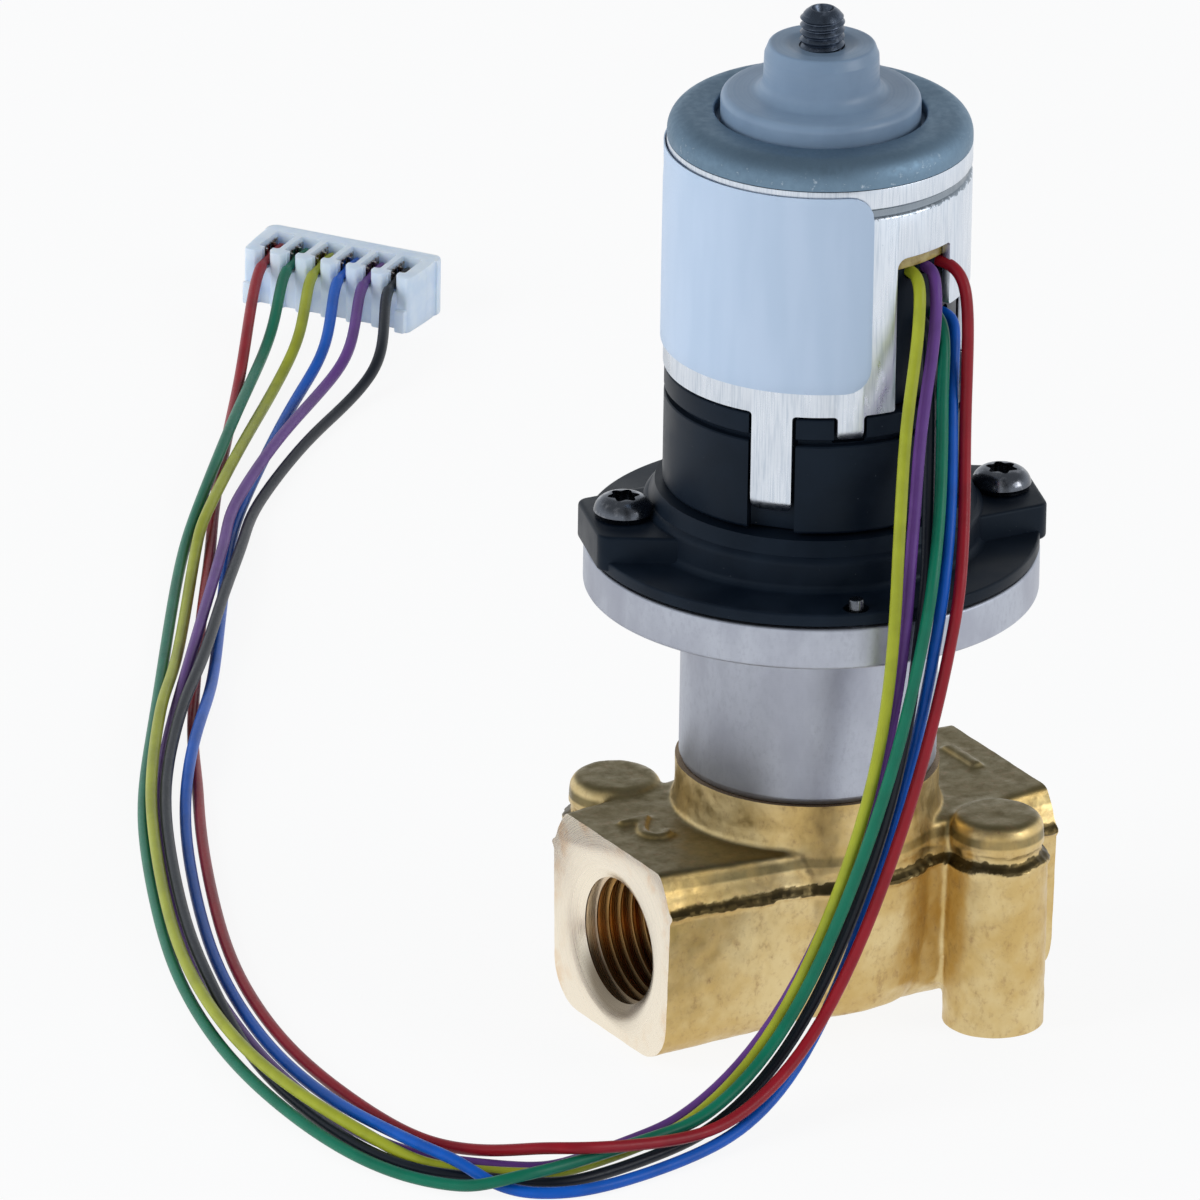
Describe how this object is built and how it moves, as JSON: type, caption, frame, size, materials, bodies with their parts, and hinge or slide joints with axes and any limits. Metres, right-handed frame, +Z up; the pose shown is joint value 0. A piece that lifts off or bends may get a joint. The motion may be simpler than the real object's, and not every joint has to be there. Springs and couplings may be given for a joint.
{
  "type": "motorized valve",
  "caption": "Small brass two-port metering valve with a can-stack linear stepper motor on a steel flange, and thin leads ending in a white connector.",
  "frame": {"origin": "on the spindle's axis, level with the feet of the mounting pillars", "axes": "+Z up along the spindle, +X along the port bar towards port 1, the leads' window facing -Y"},
  "size_m": [0.0814, 0.1468, 0.0712],
  "materials": {
    "forged_brass": "hot forged, tumbled, tarnished on top",
    "seat_steel": "ground",
    "turned_steel": "fine turned",
    "plunger_steel": "turned",
    "seal_rubber": "matt",
    "bush_bronze": "sintered",
    "spring_steel": "drawn wire",
    "black_plastic": "moulded, fine grain",
    "screw_steel": "plated",
    "bearing_bronze": "sintered",
    "rotor_plastic": "moulded",
    "ferrite": "matt",
    "spindle_steel": "blackened, rolled thread",
    "pole_iron": "plated sheet",
    "bobbin_plastic": "moulded",
    "copper_winding": "enamelled wire",
    "plated_steel": "bright plated, drawn",
    "label_film": "satin film",
    "grey_plastic": "moulded",
    "amber_film": "glossy film",
    "nylon": "natural, slightly translucent",
    "tinned_bronze": "tinned",
    "lead_red": "soft PVC",
    "lead_green": "soft PVC",
    "lead_yellow": "soft PVC",
    "lead_blue": "soft PVC",
    "lead_purple": "soft PVC",
    "lead_black": "soft PVC"
  },
  "bodies": {
    "valve": {"valve_body": "forged_brass", "seat_ring": "seat_steel", "flanged_tube": "turned_steel", "neck_seal": "seal_rubber", "guide_bush": "bush_bronze", "stem_seal": "seal_rubber", "return_spring": "spring_steel", "motor_flange": "black_plastic", "flange_screw_left": "screw_steel", "flange_screw_right": "screw_steel", "locating_pin": "screw_steel", "front_bearing": "bearing_bronze", "lower_pole_plate": "pole_iron", "middle_pole_plate": "pole_iron", "upper_pole_plate": "pole_iron", "lower_bobbin": "bobbin_plastic", "upper_bobbin": "bobbin_plastic", "lower_winding": "copper_winding", "upper_winding": "copper_winding", "front_housing": "black_plastic", "motor_can": "plated_steel", "end_plate": "plated_steel", "label": "label_film", "top_bush": "grey_plastic", "terminal_block": "black_plastic", "insulation_strip": "amber_film", "connector_housing": "nylon", "terminal_1": "tinned_bronze", "terminal_2": "tinned_bronze", "terminal_3": "tinned_bronze", "terminal_4": "tinned_bronze", "terminal_5": "tinned_bronze", "terminal_6": "tinned_bronze", "lead_red": "lead_red", "lead_green": "lead_green", "lead_yellow": "lead_yellow", "lead_blue": "lead_blue", "lead_purple": "lead_purple", "lead_black": "lead_black"},
    "rotor": {"rotor_hub": "rotor_plastic", "rotor_magnet": "ferrite"},
    "spindle": {"spindle": "spindle_steel", "plunger": "plunger_steel", "seal_disc": "seal_rubber"}
  },
  "joints": [
    {"name": "rotor_turn", "type": "hinge", "parent": "valve", "child": "rotor", "pos_m": [0, 0, 0.05], "axis": [0, 0, 1], "range_deg": [0, 1440]},
    {"name": "spindle_slide", "type": "slide", "parent": "valve", "child": "spindle", "axis": [0, 0, 1], "range_m": [0, 0.002], "deforming": ["return_spring"]}
  ],
  "couplings": [
    {"joint": "spindle_slide", "follows": "rotor_turn", "m_per_rad": 0.000079577}
  ]
}
